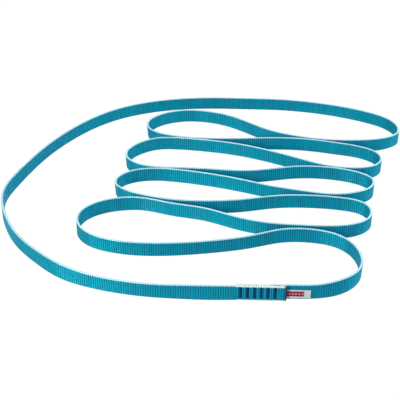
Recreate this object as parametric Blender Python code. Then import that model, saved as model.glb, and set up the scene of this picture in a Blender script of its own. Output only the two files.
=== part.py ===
"""Climbing loop sling: flat woven webbing sewn into one endless loop, standing on its edge in folds.

Metres, +Z up. The origin is the middle of the loop's plan, on the surface that it stands on. The near side, with
the seam, looks along -Y. In the seam's own frame X runs to the front layer's cut end, Y goes deeper into the
layers and Z is up.
"""

import math

import bmesh
import bpy
import numpy as np
from mathutils import Matrix, Vector

# Webbing: a flat strip with softened corners, standing on its lower edge
WEBBING_WIDTH = 0.016
WEBBING_THICKNESS = 0.0022
EDGE_CHAMFER = 0.0005
WEBBING_COLOUR = (0.006, 0.270, 0.400)
WEBBING_ROUGHNESS = 0.75

# How finely the strip follows its route
LONGEST_STEP = 0.016
BEND_STEP = math.radians(9)
CURVE_STEP = 0.001
NEIGHBOUR_REACH_SHARE = 1.9
SMOOTH_ANGLE = math.radians(30)

# Seam: the loop's two ends, one layer in front of the other
SEAM_MOUTH = (0.0655, -0.20015)
SEAM_ANGLE = math.radians(-2)
SEAM_LENGTH = 0.046
LAYER_GAP = 0.0007
CLEARANCE = 0.0003

# Bar tacks: six bars of zigzag stitches through both layers
TACK_COUNT = 6
TACK_MARGIN = 0.0105
TACK_END_MARGIN = 0.004
TACK_WIDTH = 0.0033
TACK_PAD = 0.0006
TACK_RISE = 0.0026
TACK_HEADROOM = 0.0008
TACK_LENGTH = WEBBING_WIDTH - TACK_RISE - TACK_HEADROOM
TACK_ROUNDING = 0.00025
THREAD_WIDTH = 0.001
THREAD_HEIGHT_SHARES = (0.12, 0.5, 0.88)
TACK_COLOUR = (0.003, 0.045, 0.110)
TACK_ROUGHNESS = 0.6

# Label: a small woven tag, its tail caught by the last bar tack and its flap hinged at the crease
LABEL_WIDTH = 0.009
LABEL_THICKNESS = 0.0007
LABEL_RISE = 0.002
LABEL_REACH = 0.0225
TAIL_REACH = 0.002
TAIL_HELD = 0.0123
BEHIND_LABEL_SHARE = 0.326
HINGE_GAP = 0.0005
LABEL_COLOUR = (0.80, 0.78, 0.77)
LABEL_ROUGHNESS = 0.7
LABEL_END_SIDES = 8

# The loop's free route from the front layer round to the back layer: x, y of the strip's middle line, and how far
# its top edge stands to the left of the way the route runs
FREE_ROUTE = [
    # The big loop, near side, far left and far side
    (0.0000, -0.2001, -0.0008), (-0.0320, -0.1988, 0.0000), (-0.0581, -0.1967, 0.0010),
    (-0.0871, -0.1912, 0.0010), (-0.1151, -0.1822, 0.0003), (-0.1446, -0.1664, -0.0014),
    (-0.1697, -0.1433, -0.0007), (-0.1952, -0.1112, -0.0005), (-0.2109, -0.0784, -0.0004),
    (-0.2198, -0.0472, 0.0003), (-0.2210, -0.0250, 0.0007), (-0.2168, -0.0034, 0.0013),
    (-0.2066, 0.0285, 0.0005), (-0.1912, 0.0681, -0.0005), (-0.1717, 0.1049, -0.0010),
    (-0.1475, 0.1389, -0.0011), (-0.1172, 0.1675, -0.0011), (-0.0802, 0.1870, -0.0012),
    (-0.0401, 0.1976, -0.0011), (0.0020, 0.2009, -0.0009), (0.0450, 0.1991, -0.0010),
    (0.0851, 0.1963, -0.0013), (0.1252, 0.1883, -0.0015), (0.1622, 0.1753, -0.0010),
    # First fold at the right, then back to the left
    (0.1923, 0.1593, -0.0007), (0.2115, 0.1429, -0.0006), (0.2204, 0.1221, 0.0001),
    (0.2178, 0.1056, 0.0003), (0.2060, 0.0948, 0.0003), (0.1860, 0.0880, 0.0000),
    (0.1580, 0.0862, 0.0000), (0.1280, 0.0891, 0.0000), (0.0980, 0.0976, 0.0000),
    (0.0697, 0.1112, 0.0000), (0.0440, 0.1326, 0.0000), (0.0201, 0.1515, 0.0000),
    (-0.0059, 0.1624, 0.0005), (-0.0321, 0.1646, 0.0000), (-0.0544, 0.1575, -0.0002),
    # First fold at the left
    (-0.0693, 0.1449, -0.0010), (-0.0752, 0.1305, -0.0014), (-0.0720, 0.1160, -0.0015),
    (-0.0579, 0.1037, -0.0009), (-0.0340, 0.0950, 0.0000), (0.0000, 0.0907, 0.0000),
    (0.0400, 0.0908, 0.0000), (0.0800, 0.0919, 0.0000), (0.1120, 0.0884, 0.0000),
    (0.1420, 0.0802, 0.0000),
    # Second fold at the right
    (0.1681, 0.0709, -0.0006), (0.1825, 0.0604, 0.0001), (0.1889, 0.0470, 0.0004),
    (0.1840, 0.0310, 0.0004), (0.1701, 0.0223, 0.0001), (0.1500, 0.0211, 0.0000),
    (0.1260, 0.0270, 0.0000), (0.0960, 0.0433, 0.0000), (0.0600, 0.0636, 0.0000),
    (0.0240, 0.0788, 0.0000), (-0.0119, 0.0877, 0.0003), (-0.0420, 0.0922, 0.0003),
    # Second fold at the left
    (-0.0639, 0.0910, 0.0000), (-0.0814, 0.0810, -0.0004), (-0.0936, 0.0657, -0.0006),
    (-0.0961, 0.0516, -0.0010), (-0.0880, 0.0356, -0.0007), (-0.0681, 0.0248, -0.0002),
    (-0.0380, 0.0212, 0.0000), (0.0000, 0.0179, 0.0000), (0.0320, 0.0145, 0.0000),
    (0.0600, 0.0174, 0.0000), (0.0900, 0.0234, 0.0000), (0.1200, 0.0232, 0.0000),
    # Third fold at the right
    (0.1440, 0.0176, 0.0000), (0.1630, 0.0078, 0.0004), (0.1726, -0.0061, 0.0006),
    (0.1688, -0.0202, 0.0001), (0.1540, -0.0308, 0.0001), (0.1300, -0.0358, 0.0000),
    (0.0980, -0.0298, 0.0000), (0.0619, -0.0184, 0.0000), (0.0279, -0.0040, -0.0006),
    (-0.0081, 0.0085, -0.0009), (-0.0401, 0.0165, -0.0009),
    # Third fold at the left
    (-0.0660, 0.0191, -0.0005), (-0.0861, 0.0148, -0.0003), (-0.1005, 0.0027, -0.0003),
    (-0.1036, -0.0115, -0.0010), (-0.0938, -0.0256, -0.0005), (-0.0719, -0.0376, -0.0001),
    (-0.0400, -0.0470, 0.0000), (0.0000, -0.0497, 0.0000), (0.0340, -0.0462, 0.0000),
    (0.0680, -0.0392, 0.0000), (0.1020, -0.0388, 0.0000),
    # Fourth fold at the right
    (0.1360, -0.0440, 0.0000), (0.1530, -0.0512, 0.0003), (0.1606, -0.0621, 0.0001),
    (0.1587, -0.0801, 0.0002), (0.1441, -0.0930, 0.0002), (0.1200, -0.0980, 0.0000),
    (0.0880, -0.0966, 0.0000), (0.0540, -0.0920, 0.0000), (0.0204, -0.0794, 0.0000),
    (-0.0100, -0.0639, 0.0000), (-0.0440, -0.0540, 0.0000), (-0.0739, -0.0436, 0.0000),
    # Fourth fold at the left
    (-0.0998, -0.0445, -0.0010), (-0.1219, -0.0540, -0.0008), (-0.1351, -0.0700, -0.0007),
    (-0.1372, -0.0879, 0.0001), (-0.1273, -0.1075, 0.0004), (-0.1039, -0.1220, -0.0005),
    (-0.0700, -0.1286, -0.0004), (-0.0340, -0.1283, -0.0011), (0.0039, -0.1234, -0.0015),
    (0.0378, -0.1152, -0.0009), (0.0680, -0.1050, 0.0006),
    # Last fold at the right, back to the seam
    (0.0980, -0.1052, 0.0008), (0.1210, -0.1140, 0.0002), (0.1335, -0.1278, 0.0002),
    (0.1396, -0.1480, 0.0007), (0.1380, -0.1665, 0.0008), (0.1290, -0.1814, -0.0005),
    (0.1122, -0.1930, -0.0013), (0.0921, -0.1984, 0.0001),
]

# Depths in the seam, from the middle of the label's tail
FRONT_DEPTH = -(WEBBING_THICKNESS + LABEL_THICKNESS) / 2 - CLEARANCE
BACK_DEPTH_AT_LABEL = -FRONT_DEPTH
BACK_DEPTH_IN_SEAM = FRONT_DEPTH + WEBBING_THICKNESS + LAYER_GAP


def seam_frame():
    """The seam's own frame, at the front layer's cut end on the surface."""
    return Matrix.Translation((*SEAM_MOUTH, 0)) @ Matrix.Rotation(SEAM_ANGLE, 4, "Z")


def tack_places():
    """Each bar tack's middle along the seam, from the one nearest the label."""
    return list(np.linspace(-TACK_MARGIN, TACK_END_MARGIN - SEAM_LENGTH, TACK_COUNT))


def back_depth(along):
    """How deep the back layer's middle lies: deeper from the last bar tack on, to leave room for the label's tail."""
    opens = (tack_places()[0] + tack_places()[1]) / 2
    return BACK_DEPTH_AT_LABEL if along > opens else BACK_DEPTH_IN_SEAM


def seam_points(alongs, depth_at):
    """Route points at these places along the seam, upright."""
    frame = seam_frame()
    places = [frame @ Vector((along, depth_at(along), 0)) for along in alongs]
    return [(place.x, place.y, 0) for place in places]


def whole_route():
    """The route from the front layer's cut end, round the loop, to the back layer's hidden end."""
    front = seam_points(np.linspace(0, -SEAM_LENGTH, 4), lambda along: FRONT_DEPTH)
    last, before = tack_places()[0], tack_places()[1]
    near_label = [LABEL_REACH * BEHIND_LABEL_SHARE, -TAIL_REACH, last - TACK_WIDTH / 2]
    under_tacks = np.linspace(before + TACK_WIDTH / 2, -SEAM_LENGTH, 4)
    back = seam_points([*near_label, *under_tacks], back_depth)
    return np.array([*front, *FREE_ROUTE, *back])


def smooth_curve(points):
    """A natural cubic spline through the points, by distance along their chords, and each point's distance."""
    chords = np.linalg.norm(np.diff(points[:, :2], axis=0), axis=1)
    knots = np.concatenate([[0], np.cumsum(chords)])
    count = len(points)
    slopes = np.diff(points, axis=0) / chords[:, None]
    system, right = np.eye(count), np.zeros_like(points)
    for i in range(1, count - 1):
        system[i, i - 1 : i + 2] = chords[i - 1], 2 * (chords[i - 1] + chords[i]), chords[i]
        right[i] = 6 * (slopes[i] - slopes[i - 1])
    bends = np.linalg.solve(system, right)

    def at(distance):
        i = min(int(np.searchsorted(knots, distance, side="right")) - 1, count - 2)
        before, after, chord = distance - knots[i], knots[i + 1] - distance, chords[i]
        curved = (bends[i] * after**3 + bends[i + 1] * before**3) / (6 * chord)
        start = (points[i] / chord - bends[i] * chord / 6) * after
        end = (points[i + 1] / chord - bends[i + 1] * chord / 6) * before
        return curved + start + end

    return at, knots


def strip_stations():
    """Places, directions, leans and distances walked along the route: at its points, and more where it bends."""
    at, knots = smooth_curve(whole_route())

    def heading(distance):
        ahead, behind = min(distance + CURVE_STEP, knots[-1]), max(distance - CURVE_STEP, 0)
        step = at(ahead) - at(behind)
        return math.atan2(step[1], step[0])

    distances = [0]
    for start, end in zip(knots, knots[1:]):
        turned = abs(math.remainder(heading(end) - heading(start), math.tau))
        count = math.ceil(max((end - start) / LONGEST_STEP, turned / BEND_STEP))
        distances += list(np.linspace(start, end, count + 1)[1:])
    stations = np.array([at(distance) for distance in distances])
    headings = np.array([heading(distance) for distance in distances])
    walked = np.concatenate([[0], np.cumsum(np.linalg.norm(np.diff(stations[:, :2], axis=0), axis=1))])
    return stations[:, :2], headings, stations[:, 2], walked


def to_the_left(headings):
    """The sideways directions, to the left of each heading."""
    return np.stack([-np.sin(headings), np.cos(headings)], axis=1)


def least_gap(places, headings, leans, walked):
    """The least gap between the strip and any other stretch of itself, at its edges and its middle."""
    sideways = to_the_left(headings)
    along = np.arange(0, walked[-1], WEBBING_THICKNESS)
    apart = np.abs(along[:, None] - along[None, :]) > NEIGHBOUR_REACH_SHARE * WEBBING_WIDTH
    least = math.inf
    for height_share in (-0.5, 0, 0.5):
        line = places + sideways * (leans * height_share)[:, None]
        points = np.stack([np.interp(along, walked, line[:, k]) for k in (0, 1)], axis=1)
        distances = np.linalg.norm(points[:, None] - points[None, :], axis=2)
        least = min(least, distances[apart].min() - WEBBING_THICKNESS)
    return least


def strip_section():
    """The strip's section as sideways places and heights, counter-clockwise as seen from its start."""
    half, low, high = WEBBING_THICKNESS / 2, EDGE_CHAMFER, WEBBING_WIDTH - EDGE_CHAMFER
    inner = half - EDGE_CHAMFER
    return [
        (-inner, 0), (inner, 0), (half, low), (half, high),
        (inner, WEBBING_WIDTH), (-inner, WEBBING_WIDTH), (-half, high), (-half, low),
    ]


def section_at(place, heading, lean):
    """The section's corners at one station: upright, with the top edge moved sideways by the lean."""
    sideways = Vector(to_the_left(np.array([heading]))[0])
    corners = []
    for side, height in strip_section():
        offset = side + lean * (height / WEBBING_WIDTH - 1 / 2)
        corners.append(Vector((place[0] + sideways.x * offset, place[1] + sideways.y * offset, height)))
    return corners


def sweep(bm, sections):
    """Extrudes the first section through all the others and closes both ends."""
    ring = [bm.verts.new(corner) for corner in sections[0]]
    bm.faces.new(ring)
    for section in sections[1:]:
        edges = [bm.edges.get((a, b)) for a, b in zip(ring, ring[1:] + ring[:1])]
        made = bmesh.ops.extrude_edge_only(bm, edges=edges)["geom"]
        fresh = {v for v in made if isinstance(v, bmesh.types.BMVert)}
        ring = [next(e.other_vert(v) for e in v.link_edges if e.other_vert(v) in fresh) for v in ring]
        for vertex, corner in zip(ring, section):
            vertex.co = corner
    bm.faces.new(ring)
    bmesh.ops.recalc_face_normals(bm, faces=bm.faces)


def material(name, colour, roughness):
    """A plain non-metallic material."""
    made = bpy.data.materials.new(name)
    made.use_nodes = True
    shader = made.node_tree.nodes["Principled BSDF"]
    shader.inputs["Base Color"].default_value = (*colour, 1)
    shader.inputs["Roughness"].default_value = roughness
    shader.inputs["Metallic"].default_value = 0
    return made


def add_object(name, bm, its_material=None, parent=None, location=(0, 0, 0)):
    """An object made from the bmesh, at a place in its parent's frame, smooth but for its real edges."""
    mesh = bpy.data.meshes.new(name)
    bm.to_mesh(mesh)
    bm.free()
    mesh.shade_smooth()
    mesh.set_sharp_from_angle(angle=SMOOTH_ANGLE)
    if its_material:
        mesh.materials.append(its_material)
    made = bpy.data.objects.new(name, mesh)
    bpy.context.collection.objects.link(made)
    made.parent = parent
    made.location = location
    return made


def add_guide(name, bm, parent, location=(0, 0, 0)):
    """A shape that only cuts or joins others."""
    guide = add_object(name, bm, None, parent, location)
    guide.hide_render = True
    guide.display_type = "WIRE"
    return guide


def add_boolean(target, operation, guide):
    """Cuts the guide out of the target or joins it to the target."""
    boolean = target.modifiers.new(guide.name, "BOOLEAN")
    boolean.operation = operation
    boolean.solver = "EXACT"
    boolean.object = guide


def add_box(bm, low, high):
    """A box between two corners."""
    size = Vector(high) - Vector(low)
    middle = (Vector(high) + Vector(low)) / 2
    bmesh.ops.create_cube(bm, size=1, matrix=Matrix.Translation(middle) @ Matrix.Diagonal((*size, 1)))


def add_threads(bm, along, depths, half_width):
    """The square threads of one tack between two depths, or with a wider half width the holes for them."""
    for share in THREAD_HEIGHT_SHARES:
        height = TACK_RISE + TACK_LENGTH * share
        low = (along - half_width, depths[0], height - half_width)
        high = (along + half_width, depths[1], height + half_width)
        add_box(bm, low, high)


def add_needle_holes(seam):
    """The holes of every tack's threads, through the front layer, the label's tail and the back layer."""
    bm = bmesh.new()
    depths = (FRONT_DEPTH - WEBBING_THICKNESS, BACK_DEPTH_AT_LABEL + WEBBING_THICKNESS)
    for along in tack_places():
        add_threads(bm, along, depths, THREAD_WIDTH / 2 + CLEARANCE)
    return add_guide("needle_holes", bm, seam)


def add_webbing(needle_holes):
    """The one length of webbing, from its front cut end round the loop to its hidden end."""
    places, headings, leans, walked = strip_stations()
    bm = bmesh.new()
    sweep(bm, [section_at(*station) for station in zip(places, headings, leans)])
    webbing = add_object("webbing", bm, material("webbing", WEBBING_COLOUR, WEBBING_ROUGHNESS))
    add_boolean(webbing, "DIFFERENCE", needle_holes)
    gap = least_gap(places, headings, leans, walked)
    print(f"webbing: {walked[-1]:.4f} m long, {len(places)} stations, least gap to itself {gap:.5f} m")


def add_bar_tack(name, along, seam, thread_material):
    """One bar tack: a pad of stitches on each outer face, joined by its threads through both layers."""
    to_pad = WEBBING_THICKNESS / 2 + CLEARANCE
    front, back = FRONT_DEPTH - to_pad, back_depth(along) + to_pad
    half = TACK_WIDTH / 2
    bm = bmesh.new()
    for near, far in ((front - TACK_PAD, front), (back, back + TACK_PAD)):
        add_box(bm, (-half, near, TACK_RISE), (half, far, TACK_RISE + TACK_LENGTH))
    bmesh.ops.bevel(bm, geom=bm.edges, offset=TACK_ROUNDING, segments=1, affect="EDGES")
    tack = add_object(name, bm, thread_material, seam, (along, 0, 0))
    threads = bmesh.new()
    add_threads(threads, 0, (front - TACK_PAD / 2, back + TACK_PAD / 2), THREAD_WIDTH / 2)
    add_boolean(tack, "UNION", add_guide(name + "_threads", threads, seam, (along, 0, 0)))


def half_round(middle, start):
    """Half a circle of the label's thickness about a place on its middle line, turning left from an angle."""
    radius = LABEL_THICKNESS / 2
    angles = [start + math.pi * i / LABEL_END_SIDES for i in range(LABEL_END_SIDES + 1)]
    return [(middle + radius * math.cos(a), radius * math.sin(a)) for a in angles]


def standing_sheet(outline):
    """A sheet of the label's width, standing up from a plan outline."""
    bm = bmesh.new()
    base = bm.faces.new([bm.verts.new((*point, 0)) for point in outline])
    made = bmesh.ops.extrude_face_region(bm, geom=[base])["geom"]
    raised = [v for v in made if isinstance(v, bmesh.types.BMVert)]
    bmesh.ops.translate(bm, verts=raised, vec=(0, 0, LABEL_WIDTH))
    bmesh.ops.recalc_face_normals(bm, faces=bm.faces)
    return bm


def add_label(seam, needle_holes):
    """The label's tail, held between the layers, and its flap, whose origin is the crease it turns about."""
    woven = material("label", LABEL_COLOUR, LABEL_ROUGHNESS)
    half = LABEL_THICKNESS / 2
    tail = standing_sheet([(-TAIL_HELD, -half), (TAIL_REACH, -half), (TAIL_REACH, half), (-TAIL_HELD, half)])
    held = add_object("label_tail", tail, woven, seam, (0, 0, LABEL_RISE))
    add_boolean(held, "DIFFERENCE", needle_holes)
    crease = TAIL_REACH + HINGE_GAP + half
    flap = standing_sheet(half_round(0, math.pi / 2) + half_round(LABEL_REACH - crease - half, -math.pi / 2))
    add_object("label_flap", flap, woven, seam, (crease, 0, LABEL_RISE))


def main():
    """Builds the sling in an empty scene."""
    for old in list(bpy.data.objects):
        bpy.data.objects.remove(old, do_unlink=True)
    seam = bpy.data.objects.new("seam", None)
    bpy.context.collection.objects.link(seam)
    seam.location = (*SEAM_MOUTH, 0)
    seam.rotation_euler = (0, 0, SEAM_ANGLE)
    needle_holes = add_needle_holes(seam)
    add_webbing(needle_holes)
    stitching = material("bar_tack_thread", TACK_COLOUR, TACK_ROUGHNESS)
    for number, along in enumerate(tack_places(), start=1):
        add_bar_tack(f"bar_tack_{number}", along, seam, stitching)
    add_label(seam, needle_holes)


main()
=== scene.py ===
"""Climbing loop sling: flat ribbed webbing with pale edges, sewn into one loop.

It stands on its edge in folds, as in the photograph. Metres, +Z up, in the CAD model's frame.
"""

import math

import bmesh
import bpy
import numpy as np
from mathutils import Matrix, Vector


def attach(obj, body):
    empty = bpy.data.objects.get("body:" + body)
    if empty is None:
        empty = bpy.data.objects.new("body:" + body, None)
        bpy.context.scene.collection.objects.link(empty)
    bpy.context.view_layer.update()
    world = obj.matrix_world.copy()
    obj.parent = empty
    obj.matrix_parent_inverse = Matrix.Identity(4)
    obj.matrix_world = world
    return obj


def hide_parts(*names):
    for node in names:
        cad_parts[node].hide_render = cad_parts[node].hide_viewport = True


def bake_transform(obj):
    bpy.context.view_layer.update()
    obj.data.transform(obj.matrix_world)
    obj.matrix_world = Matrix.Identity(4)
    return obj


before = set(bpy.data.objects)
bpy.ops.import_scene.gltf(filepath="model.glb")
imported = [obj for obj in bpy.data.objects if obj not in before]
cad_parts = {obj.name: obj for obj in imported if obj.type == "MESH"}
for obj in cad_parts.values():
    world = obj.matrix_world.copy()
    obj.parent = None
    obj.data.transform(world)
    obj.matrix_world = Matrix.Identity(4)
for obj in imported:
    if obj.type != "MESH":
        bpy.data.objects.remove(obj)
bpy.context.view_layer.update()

# Camera
# The photograph's viewpoint: in front of the seam, about a metre away and 31 degrees above the ground, with
# a long lens on a full-frame sensor.
CAMERA_PLACE = Vector((-0.0135, -0.9403, 0.5514))
CAMERA_AIM = Vector((-0.0135, -0.036, 0.008))
LENS_MM = 90
SENSOR_MM = 36

camera_data = bpy.data.cameras.new("camera")
camera_data.lens = LENS_MM
camera_data.sensor_width = SENSOR_MM
camera = bpy.data.objects.new("camera", camera_data)
bpy.context.collection.objects.link(camera)
camera.location = CAMERA_PLACE
camera.rotation_euler = (CAMERA_AIM - CAMERA_PLACE).to_track_quat("-Z", "Y").to_euler()
bpy.context.scene.camera = camera
bpy.context.scene.view_settings.view_transform = "Standard"

# Webbing
# One length of thick flat webbing, 16 mm wide, woven in blue with a rib at each pick and with pale yarns
# along both edges, which show wider and paler in the seam. Its two ends are cut hot, laid one over the
# other and sewn into an endless loop. The front one is darkened, partly by the melt and partly by painted
# shadow.
WEBBING_WIDTH = 0.016
WEBBING_THICKNESS = 0.0022
RIB_PITCH = 0.0023
RINGS_PER_RIB = 4
RIB_DEPTH = 0.00034
BEAD_HALF_THICKNESS = 0.00122
EDGE_SCALLOP = 0.00018
EDGE_START = 0.0016
BEAD_START = 0.0007
CREST_START = 0.0001
CREST_SHARE = 0.6
BEAD_RELIEF = 0.45
CREST_RELIEF = 0.3
WELD = 1e-6
FINE_STATIONS = 40000
SEAM_MOUTH = (0.0655, -0.20015)
SEAM_ANGLE = math.radians(-2)
SEAM_LENGTH = 0.046
LAYER_GAP = 0.0007
CLEARANCE = 0.0003
TACK_COUNT = 6
TACK_MARGIN = 0.0105
TACK_END_MARGIN = 0.004
TACK_WIDTH = 0.0033
LABEL_THICKNESS = 0.0007
LABEL_REACH = 0.0225
TAIL_REACH = 0.002
BEHIND_LABEL_SHARE = 0.326
FRONT_DEPTH = -(WEBBING_THICKNESS + LABEL_THICKNESS) / 2 - CLEARANCE
BACK_DEPTH_AT_LABEL = -FRONT_DEPTH
BACK_DEPTH_IN_SEAM = FRONT_DEPTH + WEBBING_THICKNESS + LAYER_GAP

# The free route from the front layer round to the back layer: x, y and the top edge's lean to the left
FREE_ROUTE = [
    # The big loop, near side, far left and far side
    (0.0000, -0.2001, -0.0008), (-0.0320, -0.1988, 0.0000), (-0.0581, -0.1967, 0.0010),
    (-0.0871, -0.1912, 0.0010), (-0.1151, -0.1822, 0.0003), (-0.1446, -0.1664, -0.0014),
    (-0.1697, -0.1433, -0.0007), (-0.1952, -0.1112, -0.0005), (-0.2109, -0.0784, -0.0004),
    (-0.2198, -0.0472, 0.0003), (-0.2210, -0.0250, 0.0007), (-0.2168, -0.0034, 0.0013),
    (-0.2066, 0.0285, 0.0005), (-0.1912, 0.0681, -0.0005), (-0.1717, 0.1049, -0.0010),
    (-0.1475, 0.1389, -0.0011), (-0.1172, 0.1675, -0.0011), (-0.0802, 0.1870, -0.0012),
    (-0.0401, 0.1976, -0.0011), (0.0020, 0.2009, -0.0009), (0.0450, 0.1991, -0.0010),
    (0.0851, 0.1963, -0.0013), (0.1252, 0.1883, -0.0015), (0.1622, 0.1753, -0.0010),
    # First fold at the right, then back to the left
    (0.1923, 0.1593, -0.0007), (0.2115, 0.1429, -0.0006), (0.2204, 0.1221, 0.0001),
    (0.2178, 0.1056, 0.0003), (0.2060, 0.0948, 0.0003), (0.1860, 0.0880, 0.0000),
    (0.1580, 0.0862, 0.0000), (0.1280, 0.0891, 0.0000), (0.0980, 0.0976, 0.0000),
    (0.0697, 0.1112, 0.0000), (0.0440, 0.1326, 0.0000), (0.0201, 0.1515, 0.0000),
    (-0.0059, 0.1624, 0.0005), (-0.0321, 0.1646, 0.0000), (-0.0544, 0.1575, -0.0002),
    # First fold at the left
    (-0.0693, 0.1449, -0.0010), (-0.0752, 0.1305, -0.0014), (-0.0720, 0.1160, -0.0015),
    (-0.0579, 0.1037, -0.0009), (-0.0340, 0.0950, 0.0000), (0.0000, 0.0907, 0.0000),
    (0.0400, 0.0908, 0.0000), (0.0800, 0.0919, 0.0000), (0.1120, 0.0884, 0.0000),
    (0.1420, 0.0802, 0.0000),
    # Second fold at the right
    (0.1681, 0.0709, -0.0006), (0.1825, 0.0604, 0.0001), (0.1889, 0.0470, 0.0004),
    (0.1840, 0.0310, 0.0004), (0.1701, 0.0223, 0.0001), (0.1500, 0.0211, 0.0000),
    (0.1260, 0.0270, 0.0000), (0.0960, 0.0433, 0.0000), (0.0600, 0.0636, 0.0000),
    (0.0240, 0.0788, 0.0000), (-0.0119, 0.0877, 0.0003), (-0.0420, 0.0922, 0.0003),
    # Second fold at the left
    (-0.0639, 0.0910, 0.0000), (-0.0814, 0.0810, -0.0004), (-0.0936, 0.0657, -0.0006),
    (-0.0961, 0.0516, -0.0010), (-0.0880, 0.0356, -0.0007), (-0.0681, 0.0248, -0.0002),
    (-0.0380, 0.0212, 0.0000), (0.0000, 0.0179, 0.0000), (0.0320, 0.0145, 0.0000),
    (0.0600, 0.0174, 0.0000), (0.0900, 0.0234, 0.0000), (0.1200, 0.0232, 0.0000),
    # Third fold at the right
    (0.1440, 0.0176, 0.0000), (0.1630, 0.0078, 0.0004), (0.1726, -0.0061, 0.0006),
    (0.1688, -0.0202, 0.0001), (0.1540, -0.0308, 0.0001), (0.1300, -0.0358, 0.0000),
    (0.0980, -0.0298, 0.0000), (0.0619, -0.0184, 0.0000), (0.0279, -0.0040, -0.0006),
    (-0.0081, 0.0085, -0.0009), (-0.0401, 0.0165, -0.0009),
    # Third fold at the left
    (-0.0660, 0.0191, -0.0005), (-0.0861, 0.0148, -0.0003), (-0.1005, 0.0027, -0.0003),
    (-0.1036, -0.0115, -0.0010), (-0.0938, -0.0256, -0.0005), (-0.0719, -0.0376, -0.0001),
    (-0.0400, -0.0470, 0.0000), (0.0000, -0.0497, 0.0000), (0.0340, -0.0462, 0.0000),
    (0.0680, -0.0392, 0.0000), (0.1020, -0.0388, 0.0000),
    # Fourth fold at the right
    (0.1360, -0.0440, 0.0000), (0.1530, -0.0512, 0.0003), (0.1606, -0.0621, 0.0001),
    (0.1587, -0.0801, 0.0002), (0.1441, -0.0930, 0.0002), (0.1200, -0.0980, 0.0000),
    (0.0880, -0.0966, 0.0000), (0.0540, -0.0920, 0.0000), (0.0204, -0.0794, 0.0000),
    (-0.0100, -0.0639, 0.0000), (-0.0440, -0.0540, 0.0000), (-0.0739, -0.0436, 0.0000),
    # Fourth fold at the left
    (-0.0998, -0.0445, -0.0010), (-0.1219, -0.0540, -0.0008), (-0.1351, -0.0700, -0.0007),
    (-0.1372, -0.0879, 0.0001), (-0.1273, -0.1075, 0.0004), (-0.1039, -0.1220, -0.0005),
    (-0.0700, -0.1286, -0.0004), (-0.0340, -0.1283, -0.0011), (0.0039, -0.1234, -0.0015),
    (0.0378, -0.1152, -0.0009), (0.0680, -0.1050, 0.0006),
    # Last fold at the right, back to the seam
    (0.0980, -0.1052, 0.0008), (0.1210, -0.1140, 0.0002), (0.1335, -0.1278, 0.0002),
    (0.1396, -0.1480, 0.0007), (0.1380, -0.1665, 0.0008), (0.1290, -0.1814, -0.0005),
    (0.1122, -0.1930, -0.0013), (0.0921, -0.1984, 0.0001),
]

# The seam's own frame: X to the front layer's cut end, Y deeper into the layers, Z up
seam = Matrix.Translation((*SEAM_MOUTH, 0)) @ Matrix.Rotation(SEAM_ANGLE, 4, "Z")
tack_places = np.linspace(-TACK_MARGIN, TACK_END_MARGIN - SEAM_LENGTH, TACK_COUNT)


def seam_route(alongs, depths):
    """Route points in the seam, upright."""
    places = [seam @ Vector((along, depth, 0)) for along, depth in zip(alongs, depths)]
    return [(place.x, place.y, 0) for place in places]


front_alongs = np.linspace(0, -SEAM_LENGTH, 4)
near_label = [LABEL_REACH * BEHIND_LABEL_SHARE, -TAIL_REACH, tack_places[0] - TACK_WIDTH / 2]
under_tacks = np.linspace(tack_places[1] + TACK_WIDTH / 2, -SEAM_LENGTH, 4)
route = np.array(
    seam_route(front_alongs, [FRONT_DEPTH] * 4)
    + FREE_ROUTE
    + seam_route(near_label, [BACK_DEPTH_AT_LABEL] * 3)
    + seam_route(under_tacks, [BACK_DEPTH_IN_SEAM] * 4)
)


def natural_spline(points, samples):
    """Points along a natural cubic spline by chord length, and how far each has walked."""
    chords = np.linalg.norm(np.diff(points[:, :2], axis=0), axis=1)
    knots = np.concatenate([[0], np.cumsum(chords)])
    slopes = np.diff(points, axis=0) / chords[:, None]
    system, right = np.eye(len(points)), np.zeros_like(points)
    for i in range(1, len(points) - 1):
        system[i, i - 1 : i + 2] = chords[i - 1], 2 * (chords[i - 1] + chords[i]), chords[i]
        right[i] = 6 * (slopes[i] - slopes[i - 1])
    bends = np.linalg.solve(system, right)
    distance = np.linspace(0, knots[-1], samples)
    i = np.clip(np.searchsorted(knots, distance, side="right") - 1, 0, len(points) - 2)
    before, after = (distance - knots[i])[:, None], (knots[i + 1] - distance)[:, None]
    chord = chords[i][:, None]
    curved = (bends[i] * after**3 + bends[i + 1] * before**3) / (6 * chord)
    start = (points[i] / chord - bends[i] * chord / 6) * after
    end = (points[i + 1] / chord - bends[i + 1] * chord / 6) * before
    places = curved + start + end
    steps = np.linalg.norm(np.diff(places[:, :2], axis=0), axis=1)
    return places, np.concatenate([[0], np.cumsum(steps)])


fine_places, fine_walked = natural_spline(route, FINE_STATIONS)
webbing_length = float(fine_walked[-1])
ribs = round(webbing_length / RIB_PITCH)
rings = ribs * RINGS_PER_RIB + 1
walked = np.linspace(0, webbing_length, rings)
middle = np.stack([np.interp(walked, fine_walked, fine_places[:, k]) for k in range(3)], axis=1)
ahead = np.gradient(middle[:, :2], axis=0)
ahead /= np.linalg.norm(ahead, axis=1)[:, None]
left = np.stack([-ahead[:, 1], ahead[:, 0]], axis=1)

# How high each ring stands in its rib: 0 in the groove, 1 on the crown
rib_height = np.sqrt(np.abs(np.sin(math.pi * np.arange(rings) / RINGS_PER_RIB)))

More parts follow.
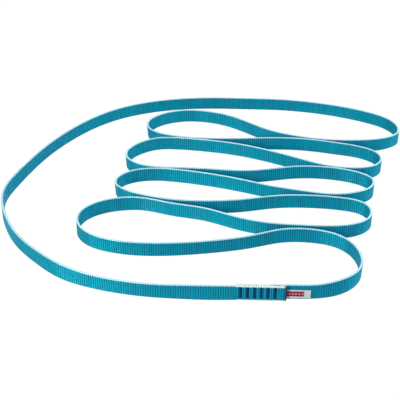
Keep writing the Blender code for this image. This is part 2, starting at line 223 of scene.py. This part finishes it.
# The section's upper half on one side: sideways place, height, and the share of the rib's relief there
half, bead = WEBBING_THICKNESS / 2, BEAD_HALF_THICKNESS
UPPER_SIDE = [
    (half, WEBBING_WIDTH / 2, 1.0),
    (half, WEBBING_WIDTH - EDGE_START, 1.0),
    (bead, WEBBING_WIDTH - BEAD_START, BEAD_RELIEF),
    (bead * CREST_SHARE, WEBBING_WIDTH - CREST_START, CREST_RELIEF),
]
one_side = [(s, WEBBING_WIDTH - h, r) for s, h, r in reversed(UPPER_SIDE[1:])] + UPPER_SIDE
section = one_side + [(-s, h, r) for s, h, r in reversed(one_side)]
corners = len(section)

bm = bmesh.new()
weave = bm.loops.layers.uv.new("weave")
bmesh.ops.create_grid(bm, x_segments=rings - 1, y_segments=corners, size=1)
for vertex in bm.verts:
    ring = round((vertex.co.x + 1) / 2 * (rings - 1))
    corner = round((vertex.co.y + 1) / 2 * corners)
    side, height, relief = section[corner % corners]
    groove = RIB_DEPTH * relief * (1 - rib_height[ring])
    side -= math.copysign(groove, side)
    scallop = EDGE_SCALLOP * (1 - relief) * (1 - rib_height[ring])
    height += scallop if height < WEBBING_WIDTH / 2 else -scallop
    offset = side + middle[ring, 2] * (height / WEBBING_WIDTH - 1 / 2)
    for loop in vertex.link_loops:
        loop[weave].uv = (walked[ring], height)
    place = middle[ring, :2] + left[ring] * offset
    vertex.co = (*place, height)
bmesh.ops.remove_doubles(bm, verts=bm.verts, dist=WELD)
open_edges = [e for e in bm.edges if e.is_boundary]
bmesh.ops.holes_fill(bm, edges=open_edges, sides=0)
bmesh.ops.recalc_face_normals(bm, faces=bm.faces)


def finished_piece(name, bm, its_material, smooth_degrees=40):
    """An object at the origin made from the bmesh, smooth but for its sharp edges."""
    mesh = bpy.data.meshes.new(name)
    bm.to_mesh(mesh)
    bm.free()
    mesh.shade_smooth()
    mesh.set_sharp_from_angle(angle=math.radians(smooth_degrees))
    mesh.materials.append(its_material)
    piece = bpy.data.objects.new(name, mesh)
    bpy.context.collection.objects.link(piece)
    return piece


def new_material(name, gleam, own_colour_gleam):
    """A thread material: its tree and its shader, with the sockets that are the same all over."""
    made = bpy.data.materials.new(name)
    made.use_nodes = True
    shader = made.node_tree.nodes["Principled BSDF"]
    shader.inputs["Specular IOR Level"].default_value = gleam
    shader.inputs["Metallic"].default_value = own_colour_gleam
    return made, made.node_tree, shader


def add_node(tree, kind, inputs, output=0, **settings):
    """A node with these settings; its inputs are linked to sockets or set to values. Gives one output."""
    made = tree.nodes.new("ShaderNode" + kind)
    for name, value in settings.items():
        setattr(made, name, value)
    for socket, value in inputs.items():
        if isinstance(value, bpy.types.NodeSocket):
            tree.links.new(value, made.inputs[socket])
        else:
            made.inputs[socket].default_value = value
    return made.outputs[output]


def calc(tree, operation, *values):
    """One Math node."""
    return add_node(tree, "Math", dict(enumerate(values)), operation=operation)


def mixed(tree, share, low, high):
    """A colour between two, by the share."""
    return add_node(tree, "Mix", {0: share, 6: low, 7: high}, output=2, data_type="RGBA")


def ramp(tree, value, low, high, to_low=0.0, to_high=1.0):
    """The value's place between two others, eased at both ends, brought to a new range and held in it."""
    inputs = {0: value, 1: low, 2: high, 3: to_low, 4: to_high}
    return add_node(tree, "MapRange", inputs, interpolation_type="SMOOTHSTEP")


def across(tree, uv_name):
    """The piece's own map, taken apart: how far along and how high, in metres."""
    uv = add_node(tree, "UVMap", {}, uv_map=uv_name)
    parts = tree.nodes.new("ShaderNodeSeparateXYZ")
    tree.links.new(uv, parts.inputs[0])
    return parts.outputs[0], parts.outputs[1]


def wave(tree, phase):
    """A rounded wave: 0 at every whole number of the phase and 1 half-way between them."""
    return calc(tree, "ABSOLUTE", calc(tree, "SINE", calc(tree, "MULTIPLY", phase, math.pi)))


def bump(tree, height, strength, distance=None):
    """The height as a bump on the surface: its normal."""
    inputs = {"Strength": strength, "Height": height}
    if distance:
        inputs["Distance"] = distance
    return add_node(tree, "Bump", inputs)


YARN_PITCH = 0.00062
PALE_BAND = 0.00068
SEAM_PALE_BAND = 0.0013
GROOVE_BAND_SHARE = 0.7
BAND_BLUR = 0.0001
# The front end's dark band: partly the melt, partly painted shadow at the seam's mouth
MELT_AND_SHADOW_REACH = 0.0030
MELT_AND_PAINTED_SHADOW = (0.006, 0.020, 0.035, 1)
# Painted light and shade on the blue: a shaded copy in the rib grooves and a lit copy on the crowns
SHADED_GROOVE_BLUE = (0.0006, 0.074, 0.165, 1)
LIT_CROWN_BLUE = (0.009, 0.358, 0.545, 1)
# The pale edges' painted shade: darker copies of the pale yarn for the rib grooves
SHADED_PALE_GROOVE = (0.39, 0.63, 0.79, 1)
PALE_YARN = (0.54, 0.81, 0.96, 1)
SEAM_SHADED_PALE_GROOVE = (0.62, 0.76, 0.84, 1)
SEAM_PALE_YARN = (0.80, 0.90, 0.95, 1)
CROWN_EASE = 0.6
DULLEST_RIB = 0.88
# Painted shade between the yarns: how far it reaches on the yarn wave and how dark it goes
YARN_GROOVE = 0.6
YARN_GROOVE_PAINTED_SHADE = 0.85
BLUE_ROUGHNESS = 0.4
PALE_ROUGHNESS = 0.6
MELTED_ROUGHNESS = 0.3
WEAVE_GLEAM = 0.01
WEAVE_OWN_GLEAM = 0.38
WEAVE_ANISOTROPY = 0.95
ACROSS_THE_RIBS = 0.25
YARN_BUMP = 0.6
YARN_BUMP_DEPTH = 0.0002

webbing_material, tree, shader = new_material("webbing", WEAVE_GLEAM, WEAVE_OWN_GLEAM)
shader.inputs["Anisotropic"].default_value = WEAVE_ANISOTROPY
shader.inputs["Anisotropic Rotation"].default_value = ACROSS_THE_RIBS
tangent = add_node(tree, "Tangent", {}, direction_type="UV_MAP", uv_map="weave")
tree.links.new(tangent, shader.inputs["Tangent"])
along, height = across(tree, "weave")
phase = calc(tree, "DIVIDE", along, webbing_length / ribs)
crown = calc(tree, "POWER", wave(tree, phase), CROWN_EASE)
rib_number = calc(tree, "FLOOR", phase)
own_shade = add_node(tree, "TexWhiteNoise", {"W": rib_number}, noise_dimensions="1D")
odd_rib = calc(tree, "MULTIPLY", rib_number, 0.5)
yarn_phase = calc(tree, "ADD", calc(tree, "DIVIDE", height, YARN_PITCH), odd_rib)
yarn = wave(tree, yarn_phase)
# Painted shade darkens the blue towards each rib's groove, and each rib also has its own random tone
light_on_rib = calc(tree, "MULTIPLY", crown, ramp(tree, own_shade, 0, 1, DULLEST_RIB, 1.0))
# Painted shade in the grooves between yarns
painted_yarn_groove_shade = ramp(tree, yarn, 0, YARN_GROOVE, YARN_GROOVE_PAINTED_SHADE, 1.0)
light_on_yarn = calc(tree, "MULTIPLY", light_on_rib, painted_yarn_groove_shade)
blue = mixed(tree, light_on_yarn, SHADED_GROOVE_BLUE, LIT_CROWN_BLUE)
from_edge = calc(tree, "MINIMUM", height, calc(tree, "SUBTRACT", WEBBING_WIDTH, height))
to_end = calc(tree, "MINIMUM", along, calc(tree, "SUBTRACT", webbing_length, along))
past_seam = ramp(tree, to_end, SEAM_LENGTH - RIB_PITCH, SEAM_LENGTH + RIB_PITCH)
# Painted shade in the rib grooves of the pale edges
shaded_pale_groove = mixed(tree, past_seam, SEAM_SHADED_PALE_GROOVE, SHADED_PALE_GROOVE)
pale_yarn = mixed(tree, past_seam, SEAM_PALE_YARN, PALE_YARN)
pale = mixed(tree, crown, shaded_pale_groove, pale_yarn)
widest = ramp(tree, past_seam, 0, 1, SEAM_PALE_BAND, PALE_BAND)
band = calc(tree, "MULTIPLY", widest, ramp(tree, crown, 0, 1, GROOVE_BAND_SHARE, 1.0))
is_blue = ramp(tree, calc(tree, "SUBTRACT", from_edge, band), -BAND_BLUR, BAND_BLUR)
woven_colour = mixed(tree, is_blue, pale, blue)
# The front end goes dark over its first 3 mm: the melt together with painted shadow
past_melt_and_shadow = ramp(tree, along, 0.0, MELT_AND_SHADOW_REACH)
tree.links.new(mixed(tree, past_melt_and_shadow, MELT_AND_PAINTED_SHADOW, woven_colour), shader.inputs["Base Color"])
woven_roughness = ramp(tree, is_blue, 0, 1, PALE_ROUGHNESS, BLUE_ROUGHNESS)
at_the_end = ramp(tree, past_melt_and_shadow, 0, 1, MELTED_ROUGHNESS, PALE_ROUGHNESS)
tree.links.new(calc(tree, "MINIMUM", woven_roughness, at_the_end), shader.inputs["Roughness"])
tree.links.new(bump(tree, yarn, YARN_BUMP, YARN_BUMP_DEPTH), shader.inputs["Normal"])

webbing = finished_piece("webbing_woven", bm, webbing_material, smooth_degrees=60)
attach(webbing, "sling")
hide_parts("webbing")

# Bar tacks
# Six dense bars of navy zigzag stitches, sewn through both layers by machine. Each is one thread that
# crosses the bar some thirty times on either face, so the bar stands a little proud of the webbing.
TACK_RISE = 0.0026
TACK_HEADROOM = 0.0008
THREAD_RADIUS = 0.00019
STITCHES = 34
THREAD_SIDES = 1
TWIST_SCALE = 2600.0
TWIST_DETAIL = 2.0
LEAST_TWIST, MOST_TWIST = 0.3, 0.7
DULL_TWIST, BRIGHT_TWIST = 0.55, 0.38
TWIST_BUMP = 0.5
TWIST_BUMP_DEPTH = 0.0001
THREAD_GLEAM = 0.06
THREAD_OWN_GLEAM = 0.2
NAVY_THREAD = (0.0004, 0.070, 0.205, 1)
NAVY_SHADE = (0.0003, 0.028, 0.092, 1)

# One stitch: shares of the bar's half width, and how far the thread's middle is proud of the face there
ONE_STITCH = ((1.0, -0.0002), (0.8, 0.00012), (0.0, 0.00028), (-0.8, 0.00012))
tack_length = WEBBING_WIDTH - TACK_RISE - TACK_HEADROOM

thread_material, tree, shader = new_material("bar_tack_thread", THREAD_GLEAM, THREAD_OWN_GLEAM)
object_place = add_node(tree, "TexCoord", {}, output=3)
twist = add_node(tree, "TexNoise", {"Scale": TWIST_SCALE, "Detail": TWIST_DETAIL, "Vector": object_place})
tree.links.new(mixed(tree, twist, NAVY_SHADE, NAVY_THREAD), shader.inputs["Base Color"])
twist_roughness = ramp(tree, twist, LEAST_TWIST, MOST_TWIST, DULL_TWIST, BRIGHT_TWIST)
tree.links.new(twist_roughness, shader.inputs["Roughness"])
tree.links.new(bump(tree, twist, TWIST_BUMP, TWIST_BUMP_DEPTH), shader.inputs["Normal"])


def stitched_face(along, surface, outwards):
    """The zigzag thread on one face of the layers: it dives into the face at both sides of the bar."""
    points = []
    reach = TACK_WIDTH / 2 - THREAD_RADIUS
    rise = tack_length / STITCHES / 2
    for i in range(STITCHES + 1):
        up = TACK_RISE + THREAD_RADIUS + (tack_length - 2 * THREAD_RADIUS) * i / STITCHES
        side = reach if i % 2 else -reach
        for share, proud in ONE_STITCH:
            if i == STITCHES and share < 1.0:
                break
            climb = up + rise * (1 - share)
            points.append(seam @ Vector((along + side * share, surface + outwards * proud, climb)))
    return points


for number, along_seam in enumerate(tack_places, start=1):
    curve = bpy.data.curves.new("stitches", "CURVE")
    curve.dimensions = "3D"
    curve.bevel_depth = THREAD_RADIUS
    curve.bevel_resolution = THREAD_SIDES
    back_middle = BACK_DEPTH_AT_LABEL if number == 1 else BACK_DEPTH_IN_SEAM
    front_face = FRONT_DEPTH - WEBBING_THICKNESS / 2
    back_face = back_middle + WEBBING_THICKNESS / 2
    for surface, outwards in ((front_face, -1), (back_face, 1)):
        points = stitched_face(along_seam, surface, outwards)
        spline = curve.splines.new("POLY")
        spline.points.add(len(points) - 1)
        for control, point in zip(spline.points, points):
            control.co = (*point, 1)
    loose = bpy.data.objects.new("stitches", curve)
    bpy.context.collection.objects.link(loose)
    thread = bmesh.new()
    thread.from_mesh(loose.evaluated_get(bpy.context.evaluated_depsgraph_get()).to_mesh())
    bpy.data.objects.remove(loose)
    tack = finished_piece(f"bar_tack_{number}_stitches", thread, thread_material)
    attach(tack, "sling")
    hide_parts(f"bar_tack_{number}")

# Label
# A narrow tag of pale woven satin, folded double, with its two tails caught between the layers by the last
# bar tack. Its free end lies on the back layer. A red band with small pale diamonds is woven into it.
LABEL_WIDTH = 0.009
LABEL_RISE = 0.002
TAIL_HELD = 0.0123
LABEL_SHEET = 0.00026
FOLD_RADIUS = 0.0002
LABEL_STEP = 0.0005
LABEL_ROWS = 12
FOLD_STEPS = 8

straight = np.arange(-TAIL_HELD, LABEL_REACH - FOLD_RADIUS - LABEL_SHEET / 2, LABEL_STEP)
fold_centre = straight[-1] + LABEL_STEP
fold_angles = np.linspace(-math.pi / 2, math.pi / 2, FOLD_STEPS + 1)
label_line = (
    [(x, -FOLD_RADIUS) for x in straight]
    + [(fold_centre + FOLD_RADIUS * math.cos(a), FOLD_RADIUS * math.sin(a)) for a in fold_angles]
    + [(x, FOLD_RADIUS) for x in reversed(straight)]
)
label_walked = np.concatenate([[0], np.cumsum(np.linalg.norm(np.diff(label_line, axis=0), axis=1))])
bm = bmesh.new()
satin = bm.loops.layers.uv.new("satin")
bmesh.ops.create_grid(bm, x_segments=len(label_line) - 1, y_segments=LABEL_ROWS, size=1)
for vertex in bm.verts:
    i = round((vertex.co.x + 1) / 2 * (len(label_line) - 1))
    up = (vertex.co.y + 1) / 2 * LABEL_WIDTH
    for loop in vertex.link_loops:
        loop[satin].uv = (label_walked[i], up)
    along_label, depth = label_line[i]
    vertex.co = seam @ Vector((along_label, depth, LABEL_RISE + up))
bmesh.ops.recalc_face_normals(bm, faces=bm.faces)
bmesh.ops.solidify(bm, geom=bm.faces, thickness=LABEL_SHEET)
bmesh.ops.recalc_face_normals(bm, faces=bm.faces)

LABEL_WHITE = (0.66, 0.72, 0.83, 1)
LABEL_SHADE = (0.57, 0.64, 0.76, 1)
LABEL_RED = (0.32, 0.020, 0.036, 1)
THREAD_STEP = 0.00022
FIELD_HALF_HEIGHT = 0.0029
FIELD_END_MARGIN = 0.0060
DIAMOND_PITCH = 0.0030
DIAMOND_HALF = 0.0009
SATIN_GLEAM = 0.15
SATIN_ROUGHNESS = 0.42
RED_ROUGHNESS = 0.6
THREAD_BUMP = 0.6
label_material, tree, shader = new_material("label", SATIN_GLEAM, 0.0)
along, height = across(tree, "satin")
along_step = calc(tree, "SNAP", along, THREAD_STEP)
height_step = calc(tree, "SNAP", height, THREAD_STEP)
from_middle = calc(tree, "ABSOLUTE", calc(tree, "SUBTRACT", height_step, LABEL_WIDTH / 2))
from_centre = calc(tree, "PINGPONG", along_step, DIAMOND_PITCH / 2)
in_field = calc(tree, "LESS_THAN", from_middle, FIELD_HALF_HEIGHT)
outside_diamond = calc(tree, "GREATER_THAN", calc(tree, "ADD", from_centre, from_middle), DIAMOND_HALF)
before_end = calc(tree, "LESS_THAN", along_step, label_walked[len(straight)] - FIELD_END_MARGIN)
is_red = calc(tree, "MULTIPLY", calc(tree, "MULTIPLY", in_field, outside_diamond), before_end)
weft_number = calc(tree, "DIVIDE", along_step, THREAD_STEP)
weft_shade = add_node(tree, "TexWhiteNoise", {"W": weft_number}, noise_dimensions="1D")
ground = mixed(tree, weft_shade, LABEL_SHADE, LABEL_WHITE)
tree.links.new(mixed(tree, is_red, ground, LABEL_RED), shader.inputs["Base Color"])
tree.links.new(ramp(tree, is_red, 0, 1, SATIN_ROUGHNESS, RED_ROUGHNESS), shader.inputs["Roughness"])
threads = [calc(tree, "PINGPONG", place, THREAD_STEP / 2) for place in (along, height)]
tree.links.new(bump(tree, calc(tree, "MINIMUM", *threads), THREAD_BUMP), shader.inputs["Normal"])

label = finished_piece("label_woven", bm, label_material)
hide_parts("label_tail", "label_flap")
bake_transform(label)

# Floor and light
# A plain white surface, as in the photograph, that keeps a faint shadow. Soft light comes from all round,
# and from three lamps: a small one low at the front left, and two broad ones at the right and behind.
FLOOR_SIZE = 3.0
FLOOR_COLOUR = (0.40, 0.40, 0.41, 1)
FLOOR_ROUGHNESS = 0.9
FLOOR_GLOW_SHARE = 0.75
FLOOR_GLOW = 1.30
WORLD_COLOUR = (0.74, 0.84, 1.0, 1)
WORLD_STRENGTH = 0.52

# Each lamp's name, place, side, power in watts and colour
LAMPS = [
    ("key", (-0.84, -0.81, 0.45), 0.3, 12.5, (1.0, 0.92, 0.68)),
    ("side", (1.16, 0.0, 0.50), 0.7, 9.5, (0.90, 1.0, 0.80)),
    ("back", (0.40, 1.15, 0.55), 0.7, 6.5, (1.0, 1.0, 0.85)),
]


def white_rays(tree):
    """1 for a camera, glossy or transmission ray, which sees white, and 0 for a ray that brings light."""
    path = tree.nodes.new("ShaderNodeLightPath")
    rays = [path.outputs[name] for name in ("Is Camera Ray", "Is Glossy Ray", "Is Transmission Ray")]
    return calc(tree, "MAXIMUM", calc(tree, "MAXIMUM", rays[0], rays[1]), rays[2])


def show(tree, lit, shown, share, output):
    """Mixes what is lit and what is shown, by the share of the shown, into the tree's output."""
    both = tree.nodes.new("ShaderNodeMixShader")
    for socket, source in zip(both.inputs, (share, lit.outputs[0], shown.outputs[0])):
        tree.links.new(source, socket)
    tree.links.new(both.outputs[0], tree.nodes[output].inputs[0])


bm = bmesh.new()
bmesh.ops.create_grid(bm, x_segments=1, y_segments=1, size=FLOOR_SIZE)
floor_material = bpy.data.materials.new("floor")
floor_material.use_nodes = True
tree = floor_material.node_tree
shader = tree.nodes["Principled BSDF"]
shader.inputs["Base Color"].default_value = FLOOR_COLOUR
shader.inputs["Roughness"].default_value = FLOOR_ROUGHNESS
shader.inputs["Specular IOR Level"].default_value = 0.0
glow = tree.nodes.new("ShaderNodeEmission")
glow.inputs["Strength"].default_value = FLOOR_GLOW
glow_share = calc(tree, "MULTIPLY", white_rays(tree), FLOOR_GLOW_SHARE)
show(tree, shader, glow, glow_share, "Material Output")
floor = finished_piece("floor", bm, floor_material)

world = bpy.data.worlds.new("world")
world.use_nodes = True
bpy.context.scene.world = world
tree = world.node_tree
background = tree.nodes["Background"]
background.inputs["Color"].default_value = WORLD_COLOUR
background.inputs["Strength"].default_value = WORLD_STRENGTH
white = tree.nodes.new("ShaderNodeBackground")
white.inputs["Color"].default_value = (1, 1, 1, 1)
show(tree, background, white, white_rays(tree), "World Output")

for name, place, size, power, colour in LAMPS:
    lamp_data = bpy.data.lights.new(name, "AREA")
    lamp_data.size = size
    lamp_data.energy = power
    lamp_data.color = colour
    lamp = bpy.data.objects.new(name, lamp_data)
    bpy.context.collection.objects.link(lamp)
    lamp.location = place
    lamp.rotation_euler = (-Vector(place)).to_track_quat("-Z", "Y").to_euler()
